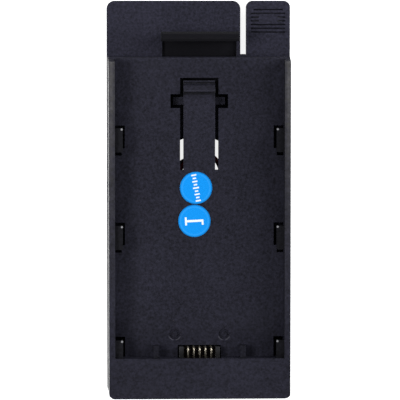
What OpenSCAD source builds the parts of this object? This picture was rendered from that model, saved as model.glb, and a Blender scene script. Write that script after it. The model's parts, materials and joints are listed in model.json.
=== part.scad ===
// Snap-in holder for a slide-on camera battery: a front tray with side hooks and a latch,
// closed from behind by a back shell whose upper end is a flange with a finger tab.
// The holder lies on its back rails. X is its width, +Y its length towards the flange,
// and +Z points out of the bay. Sizes are in millimetres.

/* [Body] */
// Width over the tops of the side walls
body_w = 42.4; // [40.5:0.1:46]
// Length of the closed end block from the lower end to the contact wall
end_l = 9.5; // [9:0.1:11]
// Length of the floor strip between the tongue's slot and the tray's upper edge
strip_l = 4.85; // [4.6:0.05:6]
// Thickness of the side walls and the skirt
wall_t = 1.4; // [1.1:0.1:1.7]
// How far each outer side leans in from the back shell to the top
side_draft = 0.27; // [0.1:0.01:0.4]
// How far the back shell reaches beyond the tray on each side
shell_over = 0.14; // [0.05:0.01:0.3]
// Radius of the lower corners
corner_r = 1.7; // [1:0.1:2.5]
// How far the flange reaches beyond the tray
flange_l = 13.1; // [12:0.1:16]
// Width of the flange
flange_w = 31.49; // [31:0.01:32]
// Corner radius of the flange
flange_r = 1.9; // [1:0.1:3]

/* [Heights] */
// Height of the slide rails behind the back shell
rail_h = 1.8; // [1.6:0.1:2.6]
// Thickness of the back shell
base_t = 2; // [1.8:0.1:2.4]
// Height of the hollow between the back shell and the bay floor
cavity_h = 4.2; // [4:0.1:5]
// Thickness of the bay floor
floor_t = 1.5; // [1.3:0.1:1.8]
// Height of the side walls above the bay floor
wall_h = 4.5; // [4.2:0.1:6]
// Thickness of the end block's front wall
end_t = 1.5; // [1.2:0.1:2]
// Radius along the tray's upper edge
edge_r = 0.5; // [0.3:0.1:0.8]

/* [Hooks] */
// Upper ends of the side hooks, measured from the contact wall
hook_tops = [4.2, 31.1, 53.9];
// Length of a hook
hook_l = 5.6; // [5:0.1:6.5]
// How far a hook reaches over the bay
hook_reach = 1.85; // [1.3:0.05:2]
// Thickness of a hook
hook_t = 1.2; // [1:0.1:1.5]
// Space under a hook
hook_lift = 2.4; // [2.2:0.1:2.6]
// Width of the floor window under a hook
window_w = 2.35; // [2.1:0.05:2.6]
// Window length beyond the hook's upper end
window_over = 0.5; // [0.3:0.1:0.8]
// Distance from the hook's lower end to the end of the wide part of the window
window_short = 0.75; // [0.5:0.05:1]
// Width of the narrow part of the window
window_narrow = 1.6; // [1.2:0.1:1.9]
// Length of the narrow part of the window beyond the hook's lower end
window_under = 0.95; // [0.6:0.05:1.5]
// Corner radius of a hook
hook_r = 0.5; // [0.3:0.1:0.8]

/* [Latch] */
// Distance from the contact wall to the tongue's root
latch_root = 43.95; // [43.5:0.05:44.7]
// Length of the tongue
latch_l = 20.95; // [20.6:0.05:21.4]
// Width of the tongue
latch_w = 7.4; // [7:0.1:7.8]
// Width of the slots beside the tongue
latch_slot = 0.8; // [0.6:0.05:0.9]
// Width of the slot at the tongue's tip
tip_slot = 0.65; // [0.5:0.05:0.9]
// Distance from the tongue's tip to the catch face
catch_in = 2.55; // [2.45:0.05:2.65]
// Height of the catch above the bay floor
catch_h = 1.25; // [1:0.05:1.4]
// Length of the catch's ramp
catch_ramp = 1.4; // [1.2:0.1:1.5]
// How far the tongue's lip lies below the bay floor
lip_drop = 0.3; // [0.2:0.1:0.5]
// Distance from the tongue's tip to the cross bar's middle
ear_in = 4.8; // [4.7:0.05:4.9]
// Width of the cross bar
ear_span = 12.2; // [11.8:0.1:12.6]
// Length of the cross bar along the tongue
ear_l = 1.8; // [1.6:0.1:2]
// Height of the cross bar
ear_h = 1.6; // [1.4:0.1:1.8]
// Room beside the cross bar's ends in the floor
pocket_side = 0.65; // [0.5:0.05:1]
// Room above and below the cross bar in the floor
pocket_end = 0.75; // [0.6:0.05:1]

/* [Release lever] */
// Width of the opening in the flange above the lever's plate
lever_w = 17.54; // [17:0.1:17.6]
// Thickness of the lever's plate
lever_t = 0.85; // [0.7:0.05:0.9]
// Thickness of the flange's rim over the plate's edges
rim_t = 0.55; // [0.45:0.05:0.6]
// How far the plate reaches under the rim
rim_over = 0.3; // [0.2:0.05:0.35]
// Running gap round the lever
lever_gap = 0.15; // [0.1:0.01:0.2]
// How far the lever's arm reaches past each end of the cross bar
arm_over = 0.1; // [0.05:0.05:0.2]
// Thickness of the lever's arm
arm_t = 1.1; // [0.9:0.1:1.2]
// Space between the back shell and the lever's arm
arm_lift = 1.5; // [1.45:0.05:1.5]
// Width of the raised finger bar
bar_w = 18.3; // [17.8:0.1:18.4]
// Gap between the finger bar and the flange's side
bar_inset = 0.48; // [0.4:0.01:0.6]
// Distance from the tray's edge to the finger bar
bar_at = 3.65; // [3.4:0.05:4.5]
// Length of the finger bar along the holder
bar_l = 2.25; // [2:0.05:2.6]
// Height of the finger bar's underside above the flange
bar_lift = 2.9; // [2.8:0.1:3.4]
// Thickness of the finger bar
bar_t = 2.2; // [1.8:0.1:2.6]

/* [Finger tab] */
// Slot between the flange and the finger tab
tab_slot = 1.38; // [1:0.02:1.6]
// Distance from the tray's edge to the visible end of the slot
slot_end = 0.5; // [0.3:0.05:0.8]
// Length of the tab that runs under the tray
tab_under = 8.8; // [8:0.1:9.5]
// Corner radius of the tab
tab_r = 1.6; // [1:0.1:2.5]
// Room for the tab to lift under the tray's edge
tab_room = 0.8; // [0.75:0.05:1]
// Number of grip grooves
groove_count = 7; // [4:1:8]
// Spacing of the grip grooves
groove_pitch = 0.88; // [0.8:0.01:1]
// Width of a grip groove
groove_w = 0.36; // [0.3:0.02:0.44]
// Depth of a grip groove
groove_d = 0.3; // [0.2:0.05:0.5]
// Distance from the tab's end to the first groove
groove_at = 2.1; // [1.8:0.1:2.6]
// Length of the grooves
groove_l = 8.1; // [7:0.1:8.6]
// Length of the first groove, between the round corners
groove_first = 6.9; // [6:0.1:7.2]
// Width of the plain place in the middle of the third and fourth grooves
groove_blank = 4.4; // [4:0.1:5]
// Height of the claw behind the tab
claw_h = 1.5; // [1.2:0.1:1.55]

/* [Contacts] */
// Width of the opening for the contact block
contact_w = 10.14; // [9.8:0.02:10.6]
// Depth of the opening in the bay floor
contact_d = 2.7; // [2.6:0.05:2.9]
// Gap round the contact block
contact_gap = 0.3; // [0.2:0.05:0.35]
// Height of the opening above the bay floor
contact_h = 3; // [2.8:0.1:3.2]
// Number of contact blades
blade_count = 5; // [5:1:5]
// Spacing of the contact blades
blade_pitch = 1.36; // [1.3:0.01:1.4]
// Thickness of a contact blade
blade_t = 0.4; // [0.3:0.05:0.45]
// Height of a blade above the bay floor
blade_h = 2.5; // [2.2:0.1:2.7]
// Width of the cheek at each end of the contact block
cheek_w = 1.05; // [0.9:0.05:1.1]
// Distance of the guide ribs from the middle
guide_x = 10.2; // [9.5:0.1:11]
// Width of a guide rib
guide_w = 1.25; // [1.1:0.05:1.6]
// Length of a guide rib
guide_l = 2.8; // [2.4:0.1:3.2]
// Height of a guide rib
guide_h = 2.2; // [1.8:0.1:3]

/* [Board and leads] */
// Thickness of the circuit board
board_t = 0.8; // [0.6:0.1:0.9]
// Width of the circuit board
board_w = 18; // [17:0.5:20]
// Height of the space between the board and the bay floor
board_drop = 2.3; // [2.2:0.1:2.4]
// Distance of the board screws from the middle
board_screw_x = 5.8; // [5.6:0.1:6.2]
// Distance of the board screws from the contact wall
board_screw_at = 5.3; // [5.2:0.05:5.5]
// Diameter of a lead
lead_d = 1.2; // [1:0.05:1.3]
// Radius of the round window in the back shell
lead_window_r = 10.6; // [10.2:0.1:10.8]
// Distance from the tongue's root to the round window's middle
lead_window_in = 2.95; // [2.7:0.05:3.2]

/* [Screws] */
// Diameter of a case screw's head
head_d = 3.6; // [3.2:0.1:3.8]
// Height of a case screw's head
head_h = 1.1; // [0.9:0.1:1.2]
// Diameter of a case screw's shank
shank_d = 2; // [1.8:0.1:2.1]
// Length of a case screw's shank
shank_l = 4.4; // [4:0.1:4.6]
// Distance of the case screws from the outer side
screw_in = 5.9; // [5.8:0.1:6.1]
// Diameter of a screw boss
boss_d = 4; // [3.8:0.1:4.2]
// Distance from the tray's upper edge to the upper screws
upper_screw_in = 12.8; // [12.6:0.1:13]

/* [Stickers] */
// Diameter of a sticker
label_d = 7.6; // [7:0.02:7.66]
// Thickness of a sticker
label_t = 0.12; // [0.1:0.02:0.2]
// Distance from the tongue's root to the upper sticker's middle
label_in = 4.2; // [4:0.05:4.6]

/* [Hidden] */
$fn = 48;
// Overlap of a cutting shape past the face that it cuts
cut = 0.5;
// Gap of a metal part in its plastic seat
seat_gap = 0.05;

// Heights
base_z = rail_h;
deck_z = base_z + base_t;
ceiling_z = deck_z + cavity_h;
floor_z = ceiling_z + floor_t;
top_z = floor_z + wall_h;
hollow_z = top_z - end_t;

// Lengths along Y, with the whole holder centred
bay_l = latch_root + latch_l + tip_slot + strip_l;
tray_l = end_l + bay_l;
body_l = tray_l + flange_l;
low_y = -body_l / 2;
high_y = body_l / 2;
edge_y = low_y + tray_l;
wall_y = edge_y - bay_l;

// Widths along X
side_x = body_w / 2;
bay_x = side_x - wall_t;
base_x = side_x + side_draft;
shell_x = base_x + shell_over;
flange_x = flange_w - shell_x;
tab_x = flange_x + tab_slot;

// Sloped upper ends of the side walls
end_rise = 1.8;
end_slope = 0.5;

// Latch
root_y = wall_y + latch_root;
tip_y = root_y + latch_l;
catch_y = tip_y - catch_in;
ear_y = tip_y - ear_in;
ear_z = ceiling_z - ear_h;
catch_top = 0.25;
catch_step = 0.4;
lip_l = 0.35;
lip_groove = 0.85;
lip_groove_d = 0.3;

// Release lever
rim_gap = 0.1;
lever_z = deck_z - rim_t - rim_gap - lever_t;
bar_x = flange_x - bar_inset - bar_w;
lever_in = 0.34;
lever_x = bar_x + lever_in;
bar_y = edge_y + bar_at;
bar_z = deck_z + bar_lift;
bar_end = bar_y + bar_l;
opening_y = bar_end - rim_over;
shoulder_y = edge_y - 1.2;
arm_w = ear_span + 2 * arm_over;
arm_z = deck_z + arm_lift;
arm_y = ear_y - ear_l / 2;
arm_step_y = edge_y - wall_t - 0.3;
arm_way = 7.3;
arm_way_y = edge_y - arm_way;
swing_room = 0.75;
riser_in = 0.35;
peg_in = 1.2;
peg_x = ear_span / 2 - peg_in;
peg_r = 0.5;

// Finger tab
tab_y = edge_y - tab_under;
claw_l = 3.2;
claw_w = 5.5;
claw_at = 3;
slot_stub = 1.5;
stub_gap = 0.1;
claw_y = edge_y + claw_at;

// Contacts, board and leads
block_x = contact_w / 2 - contact_gap;
block_y = wall_y - wall_t - 0.6;
block_front = wall_y + contact_d - contact_gap;
block_top = floor_z - 0.9;
blade_front = block_front + 0.1;
blade_back = wall_y - 0.5;
tail_l = 1;
tail_y = wall_y + 0.3;
blade_r = 0.8;
board_z = ceiling_z - board_drop;
board_low = board_z - board_t;
board_y = wall_y - wall_t - 1.2;
board_top = wall_y + board_screw_at + 2;
board_screw_y = wall_y + board_screw_at;
board_head_r = 1.3;
board_head_h = 0.8;
board_shank_r = 0.7;
board_shank_l = 2.2;
mark_r = 1.24;
mark_in_r = 0.63;
mark_depth = 0.25;
window_y = root_y - lead_window_in;
lead_side = 3;
lead_start = 6.3;

// Output contacts behind the back shell
output_w = 10;
output_l = 9;
output_in = 14.4;
output_y = wall_y + output_in;
output_x = 2.5;
output_lip = 1;
output_lip_t = 1.2;
output_out = 0.8;
pad_t = 0.3;
pad_w = 1.8;
pad_l = 5;
pin_w = 1;
pin_over = 0.6;
pin_z = deck_z + output_lip_t + pin_over;

// Screws
screw_face = base_z + 0.05;
screw_seat = screw_face + head_h;
case_screw_x = side_x - screw_in;
upper_screw_y = edge_y - upper_screw_in;
lower_screw_y = (low_y + wall_y) / 2;
SCREWS = [[-case_screw_x, upper_screw_y], [case_screw_x, upper_screw_y],
    [-case_screw_x, lower_screw_y], [case_screw_x, lower_screw_y]];
pilot_r = shank_d / 2 + seat_gap;
pilot_deep = 0.4;

// Slide rails behind the back shell
rail_x = side_x - 1.2;
rail_foot = 1.8;
rail_lip = 2.6;
rail_lip_t = 0.8;
rail_low = 5;
rail_low_l = 28;
rail_high = 41;
rail_high_l = 26;
RAILS = [[low_y + rail_low, rail_low_l], [low_y + rail_high, rail_high_l]];

// Locating ribs inside the back shell
rib_t = 0.8;
rib_h = 1.2;
rib_gap = 0.2;
rib_low = 12;
rib_high = 6;

// Stickers on the bay floor
UPPER_LABEL = [-0.77, root_y - label_in];
LOWER_LABEL = UPPER_LABEL + [-0.38, -label_d - 0.16];

// Points of the two leads, with Y measured from the contact wall
lead_z = deck_z + lead_d / 2 + 0.3;
over_z = lead_z + lead_d + 0.15;
rise_z = board_z + 0.9;
down_z = pin_z + 0.9;
RED_ROUTE = [[lead_side, lead_start, board_z], [lead_side, lead_start, rise_z],
    [3.3, 7.9, rise_z], [4.6, 10.1, over_z], [7, 14.1, over_z], [8.6, 22.1, over_z],
    [8.8, 32.1, over_z], [7.4, 39.2, over_z], [5.8, 42.9, over_z], [4.85, 45, over_z],
    [3.81, 46.44, over_z], [2.1, 47.7, over_z], [0.1, 48.1, over_z], [-2.1, 46.9, over_z],
    [-3.89, 44.7, over_z], [-5.5, 41.7, over_z], [-6, 37.2, over_z], [-5.5, 32.1, over_z],
    [-4, 26.1, over_z], [-2.8, 22.1, over_z], [-output_x, output_in, down_z],
    [-output_x, output_in, pin_z]];
BLACK_ROUTE = [[-lead_side, lead_start, board_z], [-lead_side, lead_start, rise_z],
    [-3.3, 7.9, rise_z], [-4.6, 10.1, over_z], [-7, 14.1, over_z], [-9.6, 22.1, lead_z],
    [-10.2, 32.1, lead_z], [-9, 39.7, lead_z], [-6.8, 43.4, lead_z], [-3.9, 45.56, lead_z],
    [-0.8, 47.2, lead_z], [1.8, 47.4, lead_z], [3.78, 46.3, lead_z], [4.85, 44.85, lead_z],
    [5.5, 42.4, lead_z], [5.6, 38.6, lead_z], [4.8, 33.5, lead_z], [3.7, 28, lead_z],
    [2.9, 23.5, lead_z], [2.6, 20.9, over_z], [output_x, output_in, down_z],
    [output_x, output_in, pin_z]];
lead_sides = 8;
lead_steps = 2;

// A flat outline with all four corners round
module round_plate(x0, y0, x1, y1, r) {
    translate([x0 + r, y0]) square([x1 - x0 - 2 * r, y1 - y0]);
    translate([x0, y0 + r]) square([x1 - x0, y1 - y0 - 2 * r]);
    for (x = [x0 + r, x1 - r], y = [y0 + r, y1 - r]) translate([x, y]) circle(r);
}

// A block between two corners
module block(low, high) {
    translate(low) cube(high - low);
}

// A copy on each side of the middle
module both_sides() {
    children();
    mirror([1, 0, 0]) children();
}

// The tray's outline: round lower corners and a straight upper edge
module tray_outline() {
    intersection() {
        round_plate(-base_x, low_y, base_x, edge_y + 2 * corner_r, corner_r);
        translate([-base_x, low_y]) square([2 * base_x, tray_l]);
    }
}

// The space between the two leaning outer sides
module leaning_sides() {
    slope = side_draft / (top_z - deck_z);
    wide = base_x + slope * cut;
    thin = side_x - slope * cut;
    translate([0, edge_y + cut, 0]) rotate([90, 0, 0]) linear_extrude(tray_l + 2 * cut)
        polygon([[-wide, deck_z - cut], [wide, deck_z - cut], [thin, top_z + cut], [-thin, top_z + cut]]);
}

// The floor with its round upper edge
module tray_floor() {
    translate([0, 0, ceiling_z]) linear_extrude(floor_t) difference() {
        tray_outline();
        translate([-body_w, edge_y - edge_r]) square([2 * body_w, body_w]);
    }
    block([-base_x, edge_y - 2 * edge_r, ceiling_z], [base_x, edge_y, floor_z - edge_r]);
    translate([-base_x, edge_y - edge_r, floor_z - edge_r]) rotate([0, 90, 0])
        cylinder(r = edge_r, h = 2 * base_x);
}

// The skirt that closes the hollow down to the back shell
module skirt() {
    translate([0, 0, deck_z]) linear_extrude(cavity_h) difference() {
        tray_outline();
        translate([-bay_x, low_y + wall_t]) square([2 * bay_x, tray_l - 2 * wall_t]);
    }
}

// The end block beside the bay, hollow from behind
module end_block() {
    translate([0, 0, floor_z]) linear_extrude(wall_h) intersection() {
        tray_outline();
        translate([-base_x, low_y]) square([2 * base_x, wall_y - low_y]);
    }
}

module end_hollow() {
    block([-bay_x, low_y + wall_t, ceiling_z - cut], [bay_x, wall_y - wall_t, hollow_z]);
}

// A side wall with a sloped and rounded upper end that leads the battery in
module side_wall() {
    translate([bay_x, 0, 0]) rotate([90, 0, 90]) linear_extrude(base_x - bay_x) union() {
        polygon([[wall_y - wall_t, floor_z - cut], [edge_y - edge_r, floor_z - cut],
            [edge_y - edge_r, floor_z + end_rise], [edge_y - edge_r - end_slope, top_z],
            [wall_y - wall_t, top_z]]);
    }
}

// A side hook seen along Z, with a round lower inner corner
module hook(top_at) {
    y1 = wall_y + top_at;
    y0 = y1 - hook_l;
    r = hook_r;
    x0 = bay_x - hook_reach;
    translate([0, 0, floor_z + hook_lift]) linear_extrude(hook_t) union() {
        translate([x0, y0 + r]) square([hook_reach + wall_t / 2, hook_l - r]);
        translate([x0 + r, y0]) square([hook_reach + wall_t / 2 - r, hook_l]);
        translate([x0 + r, y0 + r]) circle(r);
    }
}

// The floor window under a hook: wide beside the hook and narrow below it
module hook_window(top_at) {
    hook_y = wall_y + top_at - hook_l;
    y1 = wall_y + top_at + window_over;
    wide_y = max(hook_y + window_short, wall_y);
    thin_y = max(hook_y - window_under, wall_y);
    block([bay_x - window_w, wide_y, ceiling_z - cut], [bay_x, y1, floor_z + cut]);
    block([bay_x - window_narrow, thin_y, ceiling_z - cut], [bay_x, y1, floor_z + cut]);
}

// The T-shaped slot round the tongue
module latch_slot_cut() {
    x = latch_w / 2 + latch_slot;
    block([-x, root_y, ceiling_z - cut], [x, tip_y + tip_slot, floor_z + cut]);
    px = ear_span / 2 + pocket_side;
    py = ear_l / 2 + pocket_end;
    block([-px, ear_y - py, ceiling_z - cut], [px, ear_y + py, floor_z + cut]);
}

// The opening for the contact block, through the floor and the contact wall
module contact_cut() {
    x = contact_w / 2;
    block([-x, block_y - cut, ceiling_z - cut], [x, wall_y + contact_d, floor_z]);
    block([-x, wall_y - wall_t - cut, ceiling_z], [x, wall_y + contact_d, floor_z + contact_h]);
}

module boss(x, y, r, z0, z1) {
    translate([x, y, z0]) cylinder(r = r, h = z1 - z0);
}

// A shallow round moulding mark in the bay floor, with its raised middle
module floor_mark() {
    translate([board_screw_x, board_screw_y, floor_z - mark_depth]) difference() {
        cylinder(r = mark_r, h = mark_depth + cut);
        translate([0, 0, -cut]) cylinder(r = mark_in_r, h = mark_depth + cut);
    }
}

module tray_solid() {
    tray_floor();
    skirt();
    end_block();
    both_sides() side_wall();
    both_sides() for (top_at = hook_tops) hook(top_at);
    both_sides() block([guide_x - guide_w / 2, wall_y - cut, floor_z - cut],
        [guide_x + guide_w / 2, wall_y + guide_l, floor_z + guide_h]);
}

module tray() {
    color([0.16, 0.16, 0.2]) difference() {
        union() {
            difference() {
                intersection() {
                    tray_solid();
                    leaning_sides();
                }
                end_hollow();
            }
            both_sides() boss(case_screw_x, upper_screw_y, boss_d / 2, deck_z, ceiling_z + cut);
            both_sides() boss(case_screw_x, lower_screw_y, boss_d / 2, deck_z, hollow_z + cut);
            both_sides() boss(board_screw_x, board_screw_y, 1.7, board_z, ceiling_z + cut);
        }
        both_sides() for (top_at = hook_tops) hook_window(top_at);
        latch_slot_cut();
        contact_cut();
        both_sides() floor_mark();
        for (s = SCREWS) boss(s[0], s[1], pilot_r, deck_z - cut, screw_seat + shank_l + pilot_deep);
        both_sides() boss(board_screw_x, board_screw_y, board_shank_r + seat_gap,
            board_z - cut, board_low + board_shank_l + pilot_deep);
        block([flange_x, tab_y - cut, deck_z - cut], [shell_x, edge_y + cut, deck_z + tab_room]);
    }
}

// The tongue seen from the side: root, lip, groove, ramp and catch
module latch_tongue() {
    x = latch_w / 2;
    color([0.16, 0.16, 0.2]) union() {
        translate([-x, 0, 0]) rotate([90, 0, 90]) linear_extrude(latch_w)
            polygon([[root_y, ceiling_z], [tip_y, ceiling_z], [tip_y, floor_z - lip_drop],
                [tip_y - lip_l, floor_z - lip_drop], [tip_y - lip_l, floor_z - lip_drop - lip_groove_d],
                [tip_y - lip_groove, floor_z - lip_drop - lip_groove_d],
                [catch_y + catch_ramp, floor_z + catch_step],
                [catch_y + catch_top, floor_z + catch_h], [catch_y, floor_z + catch_h],
                [catch_y, floor_z], [root_y, floor_z]]);
        block([-ear_span / 2, ear_y - ear_l / 2, ear_z], [ear_span / 2, ear_y + ear_l / 2, ceiling_z]);
        both_sides() translate([peg_x, ear_y, ear_z - arm_t]) cylinder(r = peg_r, h = arm_t + cut);
    }
}

// The finger bar seen from the side, rounded above and bevelled towards the tray
module bar_profile() {
    r = bar_l * 0.32;
    translate([bar_y, bar_z]) square([bar_l - r, bar_t - r]);
    translate([bar_y + r, bar_z]) square([bar_l - r, bar_t - r]);
    translate([bar_y + r, bar_z]) square([bar_l - 2 * r, bar_t]);
    translate([bar_end - r, bar_z + bar_t - r]) circle(r);
    polygon([[bar_y, bar_z], [bar_y + r, bar_z], [bar_y + r, bar_z + bar_t],
        [bar_y, bar_z + bar_t - r]]);
}

// The plate and finger bar in the flange, and the arm that steps up to the tongue's cross bar
module release_lever() {
    color([0.08, 0.08, 0.1]) difference() {
        union() {
            block([-arm_w / 2, arm_y, arm_z], [arm_w / 2, arm_step_y, arm_z + arm_t]);
            block([-arm_w / 2, arm_step_y - arm_t, lever_z], [arm_w / 2, arm_step_y, arm_z + arm_t]);
            block([-arm_w / 2, arm_step_y - arm_t, lever_z],
                [arm_w / 2, shoulder_y + cut, lever_z + lever_t]);
            block([lever_x - rim_over, shoulder_y, lever_z],
                [lever_x + lever_w + rim_over, bar_end, lever_z + lever_t]);
            block([lever_x + riser_in, bar_y + riser_in, lever_z],
                [lever_x + lever_w - riser_in, opening_y - lever_gap, bar_z + cut]);
            translate([bar_x, 0, 0]) rotate([90, 0, 90]) linear_extrude(bar_w) bar_profile();
        }
        both_sides() translate([peg_x, ear_y, arm_z - cut])
            cylinder(r = peg_r + seat_gap, h = arm_t + 2 * cut);
    }
}

// The back shell's outline with the flange
module base_outline() {
    difference() {
        union() {
            intersection() {
                round_plate(-shell_x, low_y, shell_x, high_y, corner_r);
                translate([-shell_x, low_y]) square([2 * shell_x, edge_y - low_y]);
            }
            round_plate(-shell_x, edge_y - 4 * flange_r, flange_x, high_y, flange_r);
        }
        translate([flange_x, tab_y]) square([body_w, high_y - tab_y + cut]);
    }
    translate([flange_x - cut, edge_y - slot_stub])
        square([tab_slot + cut - stub_gap, slot_stub + slot_end]);
}

// The opening in which the release lever swings, with a rim that keeps the plate in
module lever_cut() {
    x = arm_w / 2 + lever_gap;
    under = rim_over + lever_gap;
    block([-x, arm_way_y, base_z - cut], [x, edge_y, deck_z + cut]);
    block([lever_x, shoulder_y - swing_room, base_z - cut],
        [lever_x + lever_w, opening_y, deck_z + cut]);
    block([lever_x - under, shoulder_y - swing_room, base_z - cut],
        [lever_x + lever_w + under, opening_y + under, deck_z - rim_t]);
}

// A slide rail: a foot with a lip that reaches inwards
module rail(y0, l) {
    block([rail_x - rail_foot, y0, 0], [rail_x, y0 + l, base_z + 0.1]);
    block([rail_x - rail_lip, y0, 0], [rail_x, y0 + l, rail_lip_t]);
}

module base_plate() {
    color([0.17, 0.17, 0.21]) difference() {
        union() {
            translate([0, 0, base_z]) linear_extrude(base_t) base_outline();
            both_sides() for (r = RAILS) rail(r[0], r[1]);
            both_sides() block([bay_x - rib_gap - rib_t, low_y + rib_low, deck_z - cut],
                [bay_x - rib_gap, tab_y - rib_high, deck_z + rib_h]);
        }
        lever_cut();
        translate([0, window_y, base_z - cut]) cylinder(r = lead_window_r, h = base_t + 2 * cut, $fn = 96);
        for (s = SCREWS) {
            boss(s[0], s[1], head_d / 2 + seat_gap, base_z - cut, screw_seat);
            boss(s[0], s[1], pilot_r, base_z - cut, deck_z + cut);
        }
        block([-output_w / 2, output_y - output_l / 2, base_z - cut],
            [output_w / 2, output_y + output_l / 2, deck_z + cut]);
    }
}

// A grip groove across the tab, as far as half on each side of the middle
module groove(row, near, half) {
    x = (tab_x + shell_x) / 2;
    y = high_y - groove_at - row * groove_pitch;
    for (side = [-1, 1]) translate([x, y, deck_z])
        block([side * (near + half) / 2 - (half - near) / 2, -groove_w / 2, -groove_d],
            [side * (near + half) / 2 + (half - near) / 2, groove_w / 2, cut]);
}

// The grooves: the first is shorter, and the third and fourth leave a plain place in the middle
module grooves() {
    groove(0, -cut, groove_first / 2);
    for (row = [1:groove_count - 1])
        groove(row, row == 2 || row == 3 ? groove_blank / 2 : -cut, groove_l / 2);
}

module release_tab() {
    x = (tab_x + shell_x) / 2;
    color([0.17, 0.17, 0.21]) difference() {
        union() {
            translate([0, 0, base_z]) linear_extrude(base_t) intersection() {
                round_plate(tab_x, tab_y - 2 * tab_r, shell_x, high_y, tab_r);
                translate([tab_x, tab_y]) square([body_w, body_l]);
            }
            translate([x - claw_w / 2, 0, 0]) rotate([90, 0, 90]) linear_extrude(claw_w)
                polygon([[claw_y, base_z + 0.1], [claw_y, base_z - claw_h],
                    [claw_y + 0.6, base_z - claw_h], [claw_y + claw_l, base_z + 0.1]]);
        }
        grooves();
    }
}

// Centre of each blade across the holder
function blade_x(i) = (i - (blade_count - 1) / 2) * blade_pitch;

module blade_slot(i) {
    x = blade_t / 2 + seat_gap;
    translate([blade_x(i), 0, 0]) union() {
        block([-x, tail_y - tail_l - seat_gap, board_z - cut], [x, tail_y + seat_gap, block_top + cut]);
        block([-x, blade_back - seat_gap, block_top], [x, wall_y + cut, floor_z + contact_h]);
    }
}

module contact_block() {
    high = floor_z + contact_h - contact_gap;
    color([0.1, 0.07, 0.06]) difference() {
        union() {
            block([-block_x, block_y, board_z], [block_x, block_front, block_top]);
            block([-block_x, block_y, block_top - cut], [block_x, wall_y - 0.2, high]);
            both_sides() block([block_x - cheek_w, wall_y - cut, block_top - cut],
                [block_x, block_front, floor_z + 1.6]);
        }
        for (i = [0:blade_count - 1]) blade_slot(i);
    }
}

// A blade seen from the side, with a round front corner and a tail down to the board
module contact_blade(i) {
    long = blade_front - blade_back;
    high = floor_z + blade_h - block_top;
    color([0.85, 0.68, 0.35]) translate([blade_x(i) - blade_t / 2, 0, 0])
        rotate([90, 0, 90]) linear_extrude(blade_t) union() {
            translate([blade_back, block_top]) square([long - blade_r, high]);
            translate([blade_back, block_top]) square([long, high - blade_r]);
            translate([blade_front - blade_r, block_top + high - blade_r]) circle(blade_r);
            translate([tail_y - tail_l, board_z]) square([tail_l, block_top - board_z + 0.1]);
        }
}

module contact_board() {
    color([0.1, 0.32, 0.18]) difference() {
        block([-board_w / 2, board_y, board_low], [board_w / 2, board_top, board_z]);
        both_sides() boss(board_screw_x, board_screw_y, board_shank_r + seat_gap, board_low - cut,
            board_z + cut);
    }
}

// A pan-head screw that points up, with a cross recess in its head
module screw(head_r, high, shank_r, long) {
    arm = head_r * 1.1;
    thin = head_r * 0.28;
    difference() {
        union() {
            cylinder(r = head_r, h = high);
            cylinder(r = shank_r, h = high + long);
        }
        for (turn = [0, 90]) rotate([0, 0, turn])
            translate([-arm / 2, -thin / 2, -cut]) cube([arm, thin, cut + high * 0.5]);
    }
}

module board_screw(side) {
    color([0.6, 0.6, 0.62]) translate([side * board_screw_x, board_screw_y, board_low - board_head_h])
        screw(board_head_r, board_head_h, board_shank_r, board_shank_l);
}

module case_screw(i) {
    color([0.25, 0.25, 0.27]) translate([SCREWS[i][0], SCREWS[i][1], screw_face])
        screw(head_d / 2, head_h, shank_d / 2, shank_l);
}

// Points of a smooth curve through hand-placed points
function curve_point(a, b, c, d, t) = 0.5 * (2 * b + (c - a) * t
    + (2 * a - 5 * b + 4 * c - d) * pow(t, 2) + (3 * b - a - 3 * c + d) * pow(t, 3));
function smooth_route(p, steps) = concat([for (i = [0:len(p) - 2]) for (s = [0:steps - 1])
    curve_point(p[max(i - 1, 0)], p[i], p[i + 1], p[min(i + 2, len(p) - 1)], s / steps)],
    [p[len(p) - 1]]);
function unit(v) = v / norm(v);
function heading(p, i) = i == 0 ? [0, 0, 1] : i == len(p) - 1 ? [0, 0, -1]
    : unit(p[i + 1] - p[i - 1]);
function across(p, i, n) = i == len(p) ? []
    : let (t = heading(p, i), m = unit(n - (n * t) * t)) concat([m], across(p, i + 1, m));
function ring(c, t, n, r) = [for (k = [0:lead_sides - 1]) let (a = 360 * k / lead_sides)
    c + r * cos(a) * n + r * sin(a) * cross(t, n)];

module lead(route) {
    p = smooth_route(route, lead_steps);
    n = across(p, 0, [1, 0, 0]);
    last = len(p) - 1;
    k = lead_sides;
    points = [for (i = [0:last]) each ring(p[i], heading(p, i), n[i], lead_d / 2)];
    skin = [for (i = [0:last - 1]) for (j = [0:k - 1])
        [i * k + j, (i + 1) * k + j, (i + 1) * k + (j + 1) % k, i * k + (j + 1) % k]];
    start_cap = [for (j = [0:k - 1]) j];
    end_cap = [for (j = [0:k - 1]) last * k + k - 1 - j];
    translate([0, wall_y, 0]) polyhedron(points, concat([start_cap], skin, [end_cap]), convexity = 6);
}

module output_block() {
    x = output_w / 2 - seat_gap;
    y = output_l / 2 - seat_gap;
    color([0.1, 0.1, 0.12]) difference() {
        union() {
            block([-x, output_y - y, base_z - output_out], [x, output_y + y, deck_z + 0.1]);
            block([-x - output_lip, output_y - y - output_lip, deck_z],
                [x + output_lip, output_y + y + output_lip, deck_z + output_lip_t]);
        }
        for (side = [-1, 1]) translate([side * output_x, output_y, 0])
            block([-pin_w / 2 - seat_gap, -pin_w / 2 - seat_gap, 0],
                [pin_w / 2 + seat_gap, pin_w / 2 + seat_gap, pin_z + cut]);
    }
}

module output_contact(side) {
    face = base_z - output_out;
    color([0.85, 0.68, 0.35]) translate([side * output_x, output_y, 0]) union() {
        block([-pad_w / 2, -pad_l / 2, face - pad_t], [pad_w / 2, pad_l / 2, face]);
        block([-pin_w / 2, -pin_w / 2, face - 0.1], [pin_w / 2, pin_w / 2, pin_z]);
    }
}

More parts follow.
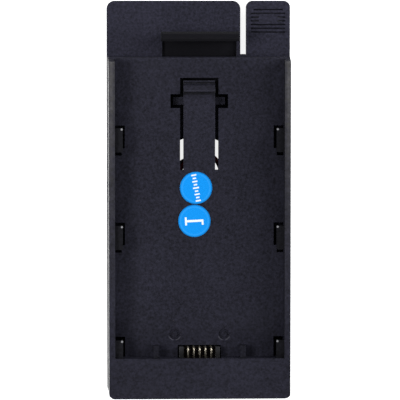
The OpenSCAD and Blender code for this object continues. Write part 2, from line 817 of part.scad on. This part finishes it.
module label(place) {
    color([0.04, 0.58, 0.95]) translate([place[0], place[1], floor_z]) cylinder(d = label_d, h = label_t);
}

tray();
latch_tongue();
release_lever();
base_plate();
release_tab();
contact_block();
contact_blade(0);  // contact_blade_1
contact_blade(1);  // contact_blade_2
contact_blade(2);  // contact_blade_3
contact_blade(3);  // contact_blade_4
contact_blade(4);  // contact_blade_5
contact_board();
board_screw(-1);  // board_screw_1
board_screw(1);  // board_screw_2
color([0.55, 0.08, 0.1]) lead(RED_ROUTE);  // lead_red
color([0.05, 0.05, 0.06]) lead(BLACK_ROUTE);  // lead_black
output_block();
output_contact(-1);  // output_contact_1
output_contact(1);  // output_contact_2
case_screw(0);  // case_screw_1
case_screw(1);  // case_screw_2
case_screw(2);  // case_screw_3
case_screw(3);  // case_screw_4
label(UPPER_LABEL);  // label_upper
label(LOWER_LABEL);  // label_lower
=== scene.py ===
import json
import math

import bmesh
import bpy
from mathutils import Matrix, Vector


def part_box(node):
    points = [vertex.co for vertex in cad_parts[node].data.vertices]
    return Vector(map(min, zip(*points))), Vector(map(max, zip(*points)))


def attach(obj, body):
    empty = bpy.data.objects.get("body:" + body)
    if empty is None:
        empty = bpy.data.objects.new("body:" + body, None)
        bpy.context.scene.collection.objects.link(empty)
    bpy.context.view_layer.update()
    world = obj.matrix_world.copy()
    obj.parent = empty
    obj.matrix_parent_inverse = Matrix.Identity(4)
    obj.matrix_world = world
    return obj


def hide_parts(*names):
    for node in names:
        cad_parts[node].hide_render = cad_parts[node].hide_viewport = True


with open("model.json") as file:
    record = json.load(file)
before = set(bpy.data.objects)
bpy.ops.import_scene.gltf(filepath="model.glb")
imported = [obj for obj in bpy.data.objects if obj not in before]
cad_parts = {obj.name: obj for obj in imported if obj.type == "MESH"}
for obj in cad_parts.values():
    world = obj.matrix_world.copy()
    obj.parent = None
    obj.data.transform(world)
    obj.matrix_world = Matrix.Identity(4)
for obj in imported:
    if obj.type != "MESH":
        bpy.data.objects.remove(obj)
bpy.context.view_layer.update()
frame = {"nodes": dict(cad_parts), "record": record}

MM = 0.001
nodes = frame["nodes"]
node_body = {name: body for body, names in frame["record"]["behaviour"]["bodies"].items() for name in names}

# Driving boxes, all read from the frame
tray_low, tray_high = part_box("tray")
tongue_low, tongue_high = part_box("latch_tongue")
tab_low, tab_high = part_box("release_tab")
sticker_low, sticker_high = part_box("label_upper")
screw_low, screw_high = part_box("board_screw_2")
block_low, block_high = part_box("contact_block")
blade_low, blade_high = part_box("contact_blade_3")
floor_z = sticker_low.z
sticker_radius = (sticker_high.x - sticker_low.x) / 2
bay_end = tray_low.y + 9.5 * MM

# Hooks: their inner ends, the wall they grow from, their heights, the three tips on each side and the painted
# highlight spot by each tip
hook_inner = tray_high.x - 3.67 * MM
hook_root = tray_high.x - 1.52 * MM
hook_zone = (floor_z + 2.2 * MM, floor_z + 3.75 * MM)
hook_tips = tuple(tray_low.y + reach * MM for reach in (13.7, 40.6, 63.4))
hook_spot_in = 0.4 * MM
hook_spot_back = 0.25 * MM
hook_spot_radius = 0.24 * MM
hook_spot_soft = 0.14 * MM

# Tops of the side walls, with a painted highlight that grows more and more towards the flange
wall_top = tray_high.z - 0.4 * MM
wall_top_inner = tray_high.x - 1.85 * MM
wall_crown = tray_high.x - 0.8 * MM
crown_half = 0.35 * MM
crown_soft = 0.5 * MM
shine_length = 60 * MM
shine_curve = 1.6
wall_end_inner = tray_high.x - 1.7 * MM
wall_end = tray_high.y - 2.2 * MM
wall_end_soft = 1.6 * MM
side_skin = 0.3 * MM

# Guide ribs beside the contacts, which get painted shade
rib_middle = 10.2 * MM
rib_half = 0.8 * MM
rib_foot = floor_z + 0.2 * MM
rib_zone = (bay_end - 0.1 * MM, bay_end + 2.9 * MM)

# Round marks in the floor, over the board's screws, with a painted highlight on their lower arcs
mark_x = (screw_low.x + screw_high.x) / 2
mark_y = (screw_low.y + screw_high.y) / 2
mark_radius = 1.42 * MM
mark_line = 0.12 * MM
mark_arc_top = -0.55 * MM
mark_arc_soft = 0.3 * MM
mark_gap = 0.3 * MM
mark_gap_soft = 0.2 * MM

# Latch tongue: the face of its catch with the band of painted shade below it, and the groove in its lip, also
# painted in shade
catch_face = tongue_high.y - 2.55 * MM
catch_band = 0.75 * MM
lip_groove = (tongue_high.y - 0.85 * MM, tongue_high.y - 0.35 * MM)

# Finger tab: where its grip grooves lie, which get painted shade
grip_zone = (tab_high.y - 8.0 * MM, tab_high.y - 1.8 * MM)
grip_side = 0.35 * MM
grip_skin = 0.06 * MM

# Contacts: the grey cheeks of the block, and how the light fades towards the wall
cheek_inner = block_high.x - 1.03 * MM
cheek_front = block_high.y - 1.0 * MM
cheek_fade = 1.4 * MM
blade_front = blade_high.y - 1.1 * MM
blade_fade = 1.6 * MM
blade_zone = (blade_low.y - 1 * MM, blade_high.y + 1 * MM)

# Widths of the masks' edges
CRISP = 0.02 * MM
NARROW = 0.05 * MM
SOFT = 0.1 * MM
INK_SOFT = 0.07 * MM
PAPER_SOFT = 0.12 * MM

# Radii of the rounded edges
tray_round = 0.22 * MM
shell_round = 0.18 * MM
blade_round = 0.13 * MM
bar_round = 0.12 * MM
thin_round = 0.1 * MM
small_round = 0.06 * MM
paper_round = 0.04 * MM

# How the CAD's loose triangles are made whole, and which edges count as sharp
weld = 0.002 * MM
flat_angle = math.radians(1)
sharp_angle = math.radians(30)
smooth_angle = math.radians(38)
tube_smooth_angle = math.radians(70)
quad_limit = 3.0
hidden_below = floor_z - 0.6 * MM
hidden_in = 0.1 * MM
tray_edge_least = 0.4 * MM
shell_edge_least = 0.5 * MM
root_gap = 0.01 * MM

# Camera of the photograph
photo_pixels = 400
pixel_size = 0.233 * MM
camera_distance = 0.7
camera_tilt_up = math.radians(4.2)
camera_tilt_side = math.radians(2.1)
camera_aim = Vector((0.0, 0.23 * MM, 14 * MM))
camera_near = 0.05
camera_far = 50
sensor_width = 36

# Studio: a place and a size in metres and a power in watts for each lamp
LAMPS = {
    "key_lamp": ((0.55, 0.1, 0.16), 0.3, 3.2),
    "left_lamp": ((-0.38, 0.03, 0.38), 0.2, 1.6),
    "front_lamp": ((0.0, -0.5, 0.35), 0.3, 1.2),
    "back_lamp": ((0.0, 0.5, 0.35), 0.3, 0.45),
    "back_left_lamp": ((-0.36, 0.36, 0.3), 0.25, 0.3),
    "back_right_lamp": ((0.4, 0.24, 0.34), 0.22, 1.1),
}
ROOM_LIGHT = (0.93, 0.96, 1)
room_strength = 0.09
GROUND_PALE = (0.8, 0.8, 0.8)
ground_glow = 0.85
ground_half = 4
ground_drop = 0.02 * MM

# Finish colours, linear
TRAY_BLACK = (0.012, 0.0118, 0.0205)
SHELL_BLACK = (0.0163, 0.016, 0.028)
LEVER_BLACK = (0.0042, 0.004, 0.0062)
# black plastic with the gold blades' reflection painted on as brown
BLOCK_GOLD_REFLECTION = (0.006, 0.0022, 0.0018)
CHEEK_GREY = (0.022, 0.022, 0.025)
# painted highlight for the rounded edges
EDGE_HIGHLIGHT = (0.045, 0.045, 0.05)
WALL_HIGHLIGHT = (0.036, 0.035, 0.032)
GLINT_HIGHLIGHT = (0.16, 0.16, 0.17)
MARK_HIGHLIGHT = (0.035, 0.035, 0.04)
GOLD = (0.93, 0.85, 0.68)
BOARD_GREEN = (0.012, 0.09, 0.035)
LEAD_RED = (0.11, 0.003, 0.008)
LEAD_BLACK = (0.008, 0.008, 0.009)
SCREW_STEEL = (0.33, 0.33, 0.35)
STICKER_BLUE = (0.0015, 0.29, 0.86)
STICKER_RING = (0.014, 0.025, 0.015)
STICKER_WHITE = (0.86, 0.92, 0.96)

# How much painted shade darkens some places against the plastic round them, and how much darker the stickers' rims
# are
hook_shade = 0.72
rib_shade = 0.35
catch_shade = 0.6
lip_shade = 0.45
grip_shade = 0.6
blade_side_shade = 0.55
sticker_rim_dark = 0.35

# Stickers' print: a row of ticks above, and a plain figure one below, as middles and half sizes
sticker_rim = 0.22 * MM
sticker_ring = 0.55 * MM
sticker_ring_half = 0.16 * MM
tick_pitch = 0.76 * MM
tick_half = 0.17 * MM
tick_heights = (0.6, 0.4, 0.6, 0.4, 0.7, 0.4, 0.6, 0.4, 0.6)
tick_turn = math.radians(-80)
FIGURE_ONE = (
    ((0.0, 0.0), (2.1 * MM, 0.26 * MM)),
    ((-2.0 * MM, 0.0), (0.22 * MM, 0.95 * MM)),
    ((1.9 * MM, -0.5 * MM), (0.22 * MM, 0.5 * MM)),
)
figure_turn = math.radians(3)

# Sockets of the Mix node when it mixes colours
MIX_FACTOR, MIX_FIRST, MIX_SECOND, MIX_COLOUR = 0, 6, 7, 2


class Wire:
    """One output of a material's nodes, on which plain arithmetic adds Math nodes."""

    def __init__(self, paint, socket):
        self.paint = paint
        self.socket = socket

    def _math(self, operation, *values):
        return self.paint.node("ShaderNodeMath", {"operation": operation}, dict(enumerate(values)))

    def __add__(self, other):
        return self._math("ADD", self, other)

    def __sub__(self, other):
        return self._math("SUBTRACT", self, other)

    def __rsub__(self, other):
        return self._math("SUBTRACT", other, self)

    def __mul__(self, other):
        return self._math("MULTIPLY", self, other)

    def __truediv__(self, other):
        return self._math("DIVIDE", self, other)

    def __pow__(self, other):
        return self._math("POWER", self, other)

    def __abs__(self):
        return self._math("ABSOLUTE", self)

    __radd__ = __add__
    __rmul__ = __mul__

    def least(self, other):
        return self._math("MINIMUM", self, other)

    def most(self, other):
        return self._math("MAXIMUM", self, other)

    def clamped(self):
        return self.least(1).most(0)

    def past(self, limit, soft):
        """1 above the limit and 0 below it, with a soft step between."""
        return ((self - limit) / soft + 0.5).clamped()

    def short_of(self, limit, soft):
        """1 below the limit and 0 above it."""
        return 1 - self.past(limit, soft)

    def between(self, limits, soft):
        """1 between the two limits and 0 outside them."""
        return self.past(limits[0], soft) * self.short_of(limits[1], soft)


class Paint:
    """A material with one Principled shader, to which nodes are added one by one."""

    def __init__(self, name, **constants):
        self.material = bpy.data.materials.new(name)
        self.material.use_nodes = True
        self.tree = self.material.node_tree
        self.shader = self.tree.nodes["Principled BSDF"]
        for label, value in constants.items():
            self.set(label.replace("_", " "), value)

    def fill(self, socket, value):
        """Links a wire to the socket, or writes a constant on it, a colour with its alpha."""
        if isinstance(value, Wire):
            self.tree.links.new(value.socket, socket)
        elif socket.type == "RGBA":
            socket.default_value = (*value, 1)
        else:
            socket.default_value = value

    def set(self, label, value):
        self.fill(self.shader.inputs[label], value)

    def node(self, kind, settings=None, values=None, output=0):
        """A new node with its settings, then its sockets' values or links. Gives one of its outputs."""
        made = self.tree.nodes.new(kind)
        for label, value in (settings or {}).items():
            setattr(made, label, value)
        for label, value in (values or {}).items():
            self.fill(made.inputs[label], value)
        return Wire(self, made.outputs[output])

    def place(self):
        return self.node("ShaderNodeTexCoord", output="Object")

    def axes(self, place):
        split = self.tree.nodes.new("ShaderNodeSeparateXYZ")
        self.fill(split.inputs[0], place)
        return [Wire(self, socket) for socket in split.outputs]

    def noise(self, size, detail=2.0, roughness=0.5):
        values = {"Vector": self.place(), "Scale": 1 / size, "Detail": detail, "Roughness": roughness}
        return self.node("ShaderNodeTexNoise", {}, values)

    def colours(self, mask, low, high):
        """The low colour where the mask is 0, and the high one where it is 1."""
        values = {MIX_FACTOR: mask, MIX_FIRST: low, MIX_SECOND: high}
        return self.node("ShaderNodeMix", {"data_type": "RGBA"}, values, output=MIX_COLOUR)

    def mottled(self, mask, colour, low, high):
        """One colour between two strengths."""
        return self.colours(mask, scaled(colour, low), scaled(colour, high))

    def multiplied(self, colour, factor):
        return self.node("ShaderNodeVectorMath", {"operation": "SCALE"}, {"Vector": colour, "Scale": factor})

    def added(self, colour, extra, mask):
        """The colour with some of another one on top, as much as the mask says."""
        extra = self.multiplied(extra, mask)
        return self.node("ShaderNodeVectorMath", {"operation": "ADD"}, {0: colour, 1: extra})

    def edge(self):
        """1 on the rounded edges, on which the finishes paint highlight or shade."""
        return self.node("ShaderNodeAttribute", {"attribute_name": "edge"}, output="Fac")

    def bump(self, height, depth):
        return self.node("ShaderNodeBump", {}, {"Height": height, "Distance": depth, "Strength": 1.0})


def scaled(colour, factor):
    return tuple(level * factor for level in colour)


def moulded(name, colour, places=None, edge_highlight_share=1.0):
    """Spark-eroded moulded plastic: a fine speckle, slow clouding, a slightly uneven gloss and a patchy painted
    highlight on the rounded edges.
    """
    paint = Paint(name, Specular_IOR_Level=0.2)
    speckle = paint.noise(0.62 * MM, detail=4.0, roughness=0.75)
    cloud = paint.noise(14 * MM)
    patch = paint.noise(1.6 * MM)
    shade = (speckle - 0.5) * 2.6 + (cloud - 0.5) * 0.4 + 0.5
    base = paint.mottled(shade.clamped(), colour, 0.35, 1.72)
    # patchy painted highlight on the rounded edges
    edge_highlight = paint.edge() * (patch * 1.5 - 0.15).clamped() * edge_highlight_share
    if places:
        base = places(paint, base, patch, edge_highlight)
    paint.set("Base Color", paint.added(base, EDGE_HIGHLIGHT, edge_highlight))
    paint.set("Roughness", (speckle * 0.22 + cloud * 0.1 + 0.36).clamped())
    paint.set("Normal", paint.bump(speckle, 0.012 * MM))
    return paint.material


def tray_places(paint, base, patch, edge_highlight):
    """Painted shade on the hooks and ribs, painted highlights on the wall tops, wall ends, hook corners and the
    floor marks' lower arcs, and glossy outer sides.
    """
    across, along, up = paint.axes(paint.place())
    side = abs(across)
    hook = side.past(hook_inner, SOFT) * side.short_of(hook_root, CRISP) * up.between(hook_zone, SOFT)
    rib = abs(side - rib_middle).short_of(rib_half, NARROW) * up.past(rib_foot, SOFT) \
        * along.between(rib_zone, NARROW)
    # painted shade on the hooks
    base = paint.multiplied(base, 1 - hook * hook_shade)
    # painted highlight on the wall tops
    base = paint.added(base, WALL_HIGHLIGHT, painted_wall_highlight(side, along, up, patch))
    # painted shade on the guide ribs
    base = paint.multiplied(base, 1 - rib * rib_shade)
    # painted highlight glints on the wall ends and hook corners
    base = paint.added(base, GLINT_HIGHLIGHT, painted_glints(side, along, hook, edge_highlight))
    # painted highlight on the floor marks' lower arcs
    base = paint.added(base, MARK_HIGHLIGHT, mark_highlight_arcs(across, along, up))
    paint.set("Coat Weight", side.past(tray_high.x - side_skin, NARROW))
    paint.set("Coat Roughness", 0.2)
    return base


def painted_wall_highlight(side, along, up, patch):
    """Painted highlight on the wall tops: streaky, strongest on their crown, and growing towards the flange."""
    top = up.past(wall_top, SOFT) * along.past(bay_end + SOFT, SOFT) * side.past(wall_top_inner, CRISP)
    rise = ((along - bay_end) / shine_length).most(0) ** shine_curve
    crown = abs(side - wall_crown).short_of(crown_half, crown_soft)
    streak = (patch * 1.5 + 0.1) * (crown * 0.75 * rise.least(1) + 0.75)
    return top * rise * streak


def painted_glints(side, along, hook, edge_highlight):
    """Painted highlights: glints on the rounded ends of the side walls, and a bright spot on the corner of each
    hook.
    """
    glint = edge_highlight * side.past(wall_end_inner, SOFT) * along.past(wall_end, wall_end_soft)
    for tip in hook_tips:
        inwards = side - (hook_inner + hook_spot_in)
        lengthways = along - (tip - hook_spot_back)
        reach = (inwards ** 2 + lengthways ** 2) ** 0.5
        glint = reach.short_of(hook_spot_radius, hook_spot_soft) * hook * 1.6 + glint
    return glint


def mark_highlight_arcs(across, along, up):
    """Painted highlight on the lower arc of each round mark in the floor, open in its middle."""
    below = along - mark_y
    arcs = 0.0
    for place in (-mark_x, mark_x):
        over = across - place
        reach = (over * over + below * below) ** 0.5
        line = abs(reach - mark_radius).short_of(mark_line, SOFT) * below.short_of(mark_arc_top, mark_arc_soft)
        arcs = line * abs(over).past(mark_gap, mark_gap_soft) + arcs
    return arcs * up.between((floor_z - NARROW, floor_z + NARROW), CRISP)


def tongue_places(paint, base, patch, edge_highlight):
    """Painted shade on the tongue below its catch and in the groove of its lip."""
    along = paint.axes(paint.place())[1]
    # painted shade below the catch and in the lip groove
    below = along.past(catch_face - catch_band, 0.15 * MM) * along.short_of(catch_face, NARROW)
    return paint.multiplied(base, 1 - below * catch_shade - along.between(lip_groove, NARROW) * lip_shade)


def tab_places(paint, base, patch, edge_highlight):
    """The finger tab's grip grooves get painted shade below the tab's top."""
    across, along, up = paint.axes(paint.place())
    inside = across.between((tab_low.x + grip_side, tab_high.x - grip_side), CRISP) \
        * along.between(grip_zone, CRISP)
    # painted shade inside the grip grooves
    return paint.multiplied(base, 1 - inside * up.short_of(tab_high.z - grip_skin, grip_skin) * grip_shade)


def satin_black():
    paint = Paint("satin_black", Specular_IOR_Level=0.18)
    speckle = paint.noise(0.25 * MM)
    paint.set("Base Color", paint.mottled(speckle, LEVER_BLACK, 0.75, 1.3))
    paint.set("Roughness", speckle * 0.14 + 0.36)
    paint.set("Normal", paint.bump(speckle, 0.004 * MM))
    return paint.material


def insulator_gold_reflection():
    """Black insulator painted dark brown as the gold blades' reflection on it, with greyer cheeks beside the
    blades that get painted shade towards the wall.
    """
    paint = Paint("insulator_gold_reflection", Specular_IOR_Level=0.25)
    speckle = paint.noise(0.3 * MM)
    across, along, _ = paint.axes(paint.place())
    cheek = abs(across).past(cheek_inner, NARROW) * along.past(blade_low.y, NARROW)
    # painted shade: the cheeks darken towards the wall
    grey = paint.multiplied(CHEEK_GREY, along.past(cheek_front, cheek_fade) * 0.7 + 0.4)
    # brown here is a painted reflection of the gold blades
    paint.set("Base Color", paint.colours(cheek, paint.mottled(speckle, BLOCK_GOLD_REFLECTION, 0.7, 1.4), grey))
    paint.set("Roughness", speckle * 0.2 + 0.38)
    return paint.material


def plated_gold():
    """Gold plate; painted shade darkens the blades in the bay towards the wall and on their rounded sides."""
    paint = Paint("plated_gold", Metallic=1.0)
    wear = paint.noise(0.5 * MM, detail=3.0)
    along = paint.axes(paint.place())[1]
    bay = along.between(blade_zone, SOFT)
    # painted shade towards the wall and on the blades' rounded sides
    shade_to_wall = bay * (1 - (along.past(blade_front, blade_fade) * 0.7 + 0.3))
    side_shade = bay * paint.edge() * blade_side_shade
    paint.set("Base Color", paint.multiplied(paint.mottled(wear, GOLD, 0.93, 1.0), (1 - shade_to_wall) * (1 - side_shade)))
    paint.set("Roughness", wear * 0.12 + 0.26)
    return paint.material


def board_mask():
    paint = Paint("board_mask", Specular_IOR_Level=0.5)
    weave = paint.noise(0.4 * MM)
    paint.set("Base Color", paint.mottled(weave, BOARD_GREEN, 0.75, 1.2))
    paint.set("Roughness", weave * 0.12 + 0.25)
    return paint.material


def insulation(name, colour):
    paint = Paint(name, Specular_IOR_Level=0.45)
    speckle = paint.noise(0.5 * MM)
    paint.set("Base Color", paint.mottled(speckle, colour, 0.8, 1.15))
    paint.set("Roughness", speckle * 0.15 + 0.35)
    return paint.material


def screw_steel():
    paint = Paint("screw_steel", Metallic=1.0)
    wear = paint.noise(0.35 * MM, detail=3.0)
    paint.set("Base Color", paint.mottled(wear, SCREW_STEEL, 0.8, 1.2))
    paint.set("Roughness", wear * 0.2 + 0.3)
    return paint.material


def printed_bar(across, along, middle, half):
    """1 inside a flat rectangle in the sticker's own axes, 0 outside."""
    return abs(across - middle[0]).short_of(half[0], INK_SOFT) * abs(along - middle[1]).short_of(half[1], INK_SOFT)


def sticker_paint(name, centre, turn, bars):
    """Blue glossy paper with a dark rim, a pressed ring and white printed bars."""
    paint = Paint(name, Specular_IOR_Level=0.3)
    turned = paint.node("ShaderNodeMapping", {"vector_type": "TEXTURE"},
                        {"Vector": paint.place(), "Location": tuple(centre), "Rotation": (0, 0, turn)})
    across, along, _ = paint.axes(turned)
    reach = (across * across + along * along) ** 0.5
    rim = reach.past(sticker_radius - sticker_rim, PAPER_SOFT)
    ring = abs(reach - (sticker_radius - sticker_ring)).short_of(sticker_ring_half, PAPER_SOFT)
    ink = 0.0
    for middle, half in bars:
        ink = printed_bar(across, along, middle, half) + ink
    fibre = paint.noise(0.4 * MM, detail=3.0)
    blue = paint.multiplied(paint.mottled(fibre, STICKER_BLUE, 0.9, 1.08), 1 - rim * sticker_rim_dark)
    blue = paint.added(blue, STICKER_RING, ring)
    paint.set("Base Color", paint.colours(ink.clamped(), blue, STICKER_WHITE))
    paint.set("Roughness", fibre * 0.12 + 0.34)
    return paint.material


def open_copy(name):
    """A node's mesh with its loose triangles merged and its flat faces made whole again."""
    shape = bmesh.new()
    shape.from_mesh(nodes[name].data)
    bmesh.ops.remove_doubles(shape, verts=shape.verts, dist=weld)
    bmesh.ops.dissolve_limit(shape, angle_limit=flat_angle, verts=shape.verts, edges=shape.edges)
    return shape


def sharp_edges(shape, chosen):
    found = []
    for edge in shape.edges:
        if edge.is_manifold and edge.calc_face_angle(0) > sharp_angle:
            if chosen((edge.verts[0].co + edge.verts[1].co) / 2, edge):
                found.append(edge)
    return found


def round_edges(shape, width, chosen, segments=2):
    """Rounds the chosen sharp edges and marks the new faces, on which the finishes paint highlight or shade."""
    mark = shape.faces.layers.float.new("edge")
    made = bmesh.ops.bevel(shape, geom=sharp_edges(shape, chosen), offset=width, offset_type="OFFSET",
                           segments=segments, profile=0.5, affect="EDGES", clamp_overlap=True, material=-1)
    for face in shape.faces:
        face[mark] = 0.0
    for face in made["faces"]:
        face[mark] = 1.0


def dress(shape, node, part, material, smooth=smooth_angle):
    """Makes a finished piece of a bmesh, in its node's place and body."""
    mesh = bpy.data.meshes.new(node + part)
    shape.to_mesh(mesh)
    shape.free()
    piece = bpy.data.objects.new(node + part, mesh)
    bpy.context.scene.collection.objects.link(piece)
    mesh.materials.append(material)
    mesh.shade_smooth()
    mesh.set_sharp_from_angle(angle=smooth)
    flat = piece.modifiers.new("flat_faces", "WEIGHTED_NORMAL")
    flat.keep_sharp = True
    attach(piece, node_body[node])
    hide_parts(node)
    return piece


def repaint(name, material):
    """A CAD node that is shown as it is, with its finish."""
    mesh = nodes[name].data
    mesh.materials.clear()
    mesh.materials.append(material)


def every_edge(middle, edge):
    return True


def away_from_root(middle, edge):
    """True off the plane where the tongue grows out of the tray, so that no groove shows there."""
    return abs(middle.y - tongue_low.y) > root_gap


def tab_edge(middle, edge):
    """The tab's outer edges, not those of its grip grooves, which stay crisp and keep their painted shade."""
    across = tab_low.x + grip_side < middle.x < tab_high.x - grip_side
    return not (across and grip_zone[0] < middle.y < grip_zone[1])


def tray_edge(middle, edge):
    """The tray's edges that a mould leaves round: not the hidden ones, the tongue's root or fine marks."""
    inside = tray_low.x + hidden_in < middle.x < tray_high.x - hidden_in
    hidden = middle.z < hidden_below and inside
    return away_from_root(middle, edge) and not hidden and edge.calc_length() > tray_edge_least


def shell_edge(middle, edge):
    """The back shell's edges, without the short ones of its fine marks."""
    return edge.calc_length() > shell_edge_least


def rounded_node(name, material, width, chosen=every_edge, segments=2):
    """A CAD node with its sharp edges rounded."""
    shape = open_copy(name)
    round_edges(shape, width, chosen, segments)
    dress(shape, name, "_body", material)


def lead(name, material):
    """A lead: the swept tube made round by subdivision."""
    shape = open_copy(name)
    bmesh.ops.join_triangles(shape, faces=shape.faces, angle_face_threshold=quad_limit,
                             angle_shape_threshold=quad_limit)
    piece = dress(shape, name, "_insulation", material, smooth=tube_smooth_angle)
    rounder = piece.modifiers.new("rounder", "SUBSURF")
    rounder.levels = 1
    rounder.render_levels = 1


def sticker(name, turn, bars):
    """A round paper disc in its node's box, with its print."""
    low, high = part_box(name)
    middle = (low + high) / 2
    shape = bmesh.new()
    bmesh.ops.create_circle(shape, cap_ends=True, segments=96, radius=(high.x - low.x) / 2)
    bmesh.ops.translate(shape, verts=shape.verts, vec=(middle.x, middle.y, low.z))
    grown = bmesh.ops.extrude_face_region(shape, geom=list(shape.faces))
    top = [item for item in grown["geom"] if isinstance(item, bmesh.types.BMVert)]
    bmesh.ops.translate(shape, verts=top, vec=(0, 0, high.z - low.z))
    bmesh.ops.recalc_face_normals(shape, faces=shape.faces)
    round_edges(shape, paper_round, lambda place, edge: place.z > middle.z)
    dress(shape, name, "_paper", sticker_paint(name.replace("label", "sticker"), middle, turn, bars))


def stickers():
    ticks = [((place * tick_pitch, 0.0), (tick_half, height * MM)) for place, height in
             enumerate(tick_heights, start=-(len(tick_heights) // 2))]
    sticker("label_upper", tick_turn, ticks)
    sticker("label_lower", figure_turn, FIGURE_ONE)


def studio():
    """Plain pale floor, soft lamps and the photograph's camera."""
    bpy.context.scene.view_settings.view_transform = "Standard"
    room()
    for name, (place, size, power) in LAMPS.items():
        lamp(name, place, size, power)
    ground()
    photo_camera()


def room():
    """The world: a weak even light, which the camera sees as white."""
    world = bpy.data.worlds.new("studio")
    bpy.context.scene.world = world
    world.use_nodes = True
    tree = world.node_tree
    plain = tree.nodes["Background"]
    plain.inputs["Color"].default_value = (*ROOM_LIGHT, 1)
    plain.inputs["Strength"].default_value = room_strength
    white = tree.nodes.new("ShaderNodeBackground")
    white.inputs["Color"].default_value = (1, 1, 1, 1)
    path = tree.nodes.new("ShaderNodeLightPath")
    mix = tree.nodes.new("ShaderNodeMixShader")
    tree.links.new(path.outputs["Is Camera Ray"], mix.inputs[0])
    tree.links.new(plain.outputs[0], mix.inputs[1])
    tree.links.new(white.outputs[0], mix.inputs[2])
    tree.links.new(mix.outputs[0], tree.nodes["World Output"].inputs[0])


def lamp(name, place, size, power):
    """A round soft lamp that points at the holder."""
    light = bpy.data.lights.new(name, "AREA")
    light.shape = "DISK"
    light.size = size
    light.energy = power
    stand = bpy.data.objects.new(name, light)
    bpy.context.scene.collection.objects.link(stand)
    stand.location = place
    stand.rotation_euler = Vector(place).to_track_quat("Z", "Y").to_euler()


def ground():
    """A pale floor that the camera sees near white, with the object's shadow on it."""
    paint = Paint("ground_white", Base_Color=GROUND_PALE, Roughness=0.9, Specular_IOR_Level=0.1)
    floor_shade = Wire(paint, paint.shader.outputs[0])
    seen = paint.node("ShaderNodeLightPath", output="Is Camera Ray")
    glow = paint.node("ShaderNodeEmission", {}, {"Strength": ground_glow})
    lit = paint.node("ShaderNodeAddShader", {}, {0: floor_shade, 1: glow})
    shown = paint.node("ShaderNodeMixShader", {}, {0: seen, 1: floor_shade, 2: lit})
    paint.fill(paint.tree.nodes["Material Output"].inputs[0], shown)
    shape = bmesh.new()
    bmesh.ops.create_grid(shape, x_segments=1, y_segments=1, size=ground_half)
    bmesh.ops.translate(shape, verts=shape.verts, vec=(0, 0, -ground_drop))
    mesh = bpy.data.meshes.new("ground")
    shape.to_mesh(mesh)
    shape.free()
    mesh.materials.append(paint.material)
    floor = bpy.data.objects.new("ground", mesh)
    bpy.context.scene.collection.objects.link(floor)


def photo_camera():
    """A long lens that looks down on the holder, leaning a little to the flange and to the left."""
    data = bpy.data.cameras.new("photo_camera")
    camera = bpy.data.objects.new("photo_camera", data)
    bpy.context.scene.collection.objects.link(camera)
    bpy.context.scene.camera = camera
    back = Vector((-math.tan(camera_tilt_side), math.tan(camera_tilt_up), 1)).normalized()
    right = Vector((0, 1, 0)).cross(back).normalized()
    up = back.cross(right)
    turn = Matrix((right, up, back)).transposed().to_4x4()
    data.sensor_width = sensor_width
    data.lens = sensor_width * camera_distance / (photo_pixels * pixel_size)
    data.clip_start = camera_near
    data.clip_end = camera_far
    camera.matrix_world = Matrix.Translation(camera_aim + back * camera_distance) @ turn


def holder():
    brown = insulator_gold_reflection()
    gold = plated_gold()
    steel = screw_steel()

    rounded_node("tray", moulded("tray_plastic", TRAY_BLACK, tray_places, edge_highlight_share=0.55), tray_round,
                 tray_edge, segments=3)
    rounded_node("latch_tongue", moulded("tongue_plastic", TRAY_BLACK, tongue_places, edge_highlight_share=0.55),
                 thin_round, away_from_root)
    rounded_node("base_plate", moulded("shell_plastic", SHELL_BLACK), shell_round, shell_edge)
    rounded_node("release_tab", moulded("tab_plastic", SHELL_BLACK, tab_places), thin_round, tab_edge)
    rounded_node("release_lever", satin_black(), bar_round)
    rounded_node("contact_block", brown, small_round)
    rounded_node("output_block", brown, bar_round)
    for i in range(1, 6):
        rounded_node(f"contact_blade_{i}", gold, blade_round)
    for i in (1, 2):
        rounded_node(f"output_contact_{i}", gold, small_round)
        rounded_node(f"board_screw_{i}", steel, small_round)
    for i in range(1, 5):
        rounded_node(f"case_screw_{i}", steel, thin_round)
    repaint("contact_board", board_mask())
    lead("lead_red", insulation("red_insulation", LEAD_RED))
    lead("lead_black", insulation("black_insulation", LEAD_BLACK))
    stickers()


studio()
holder()
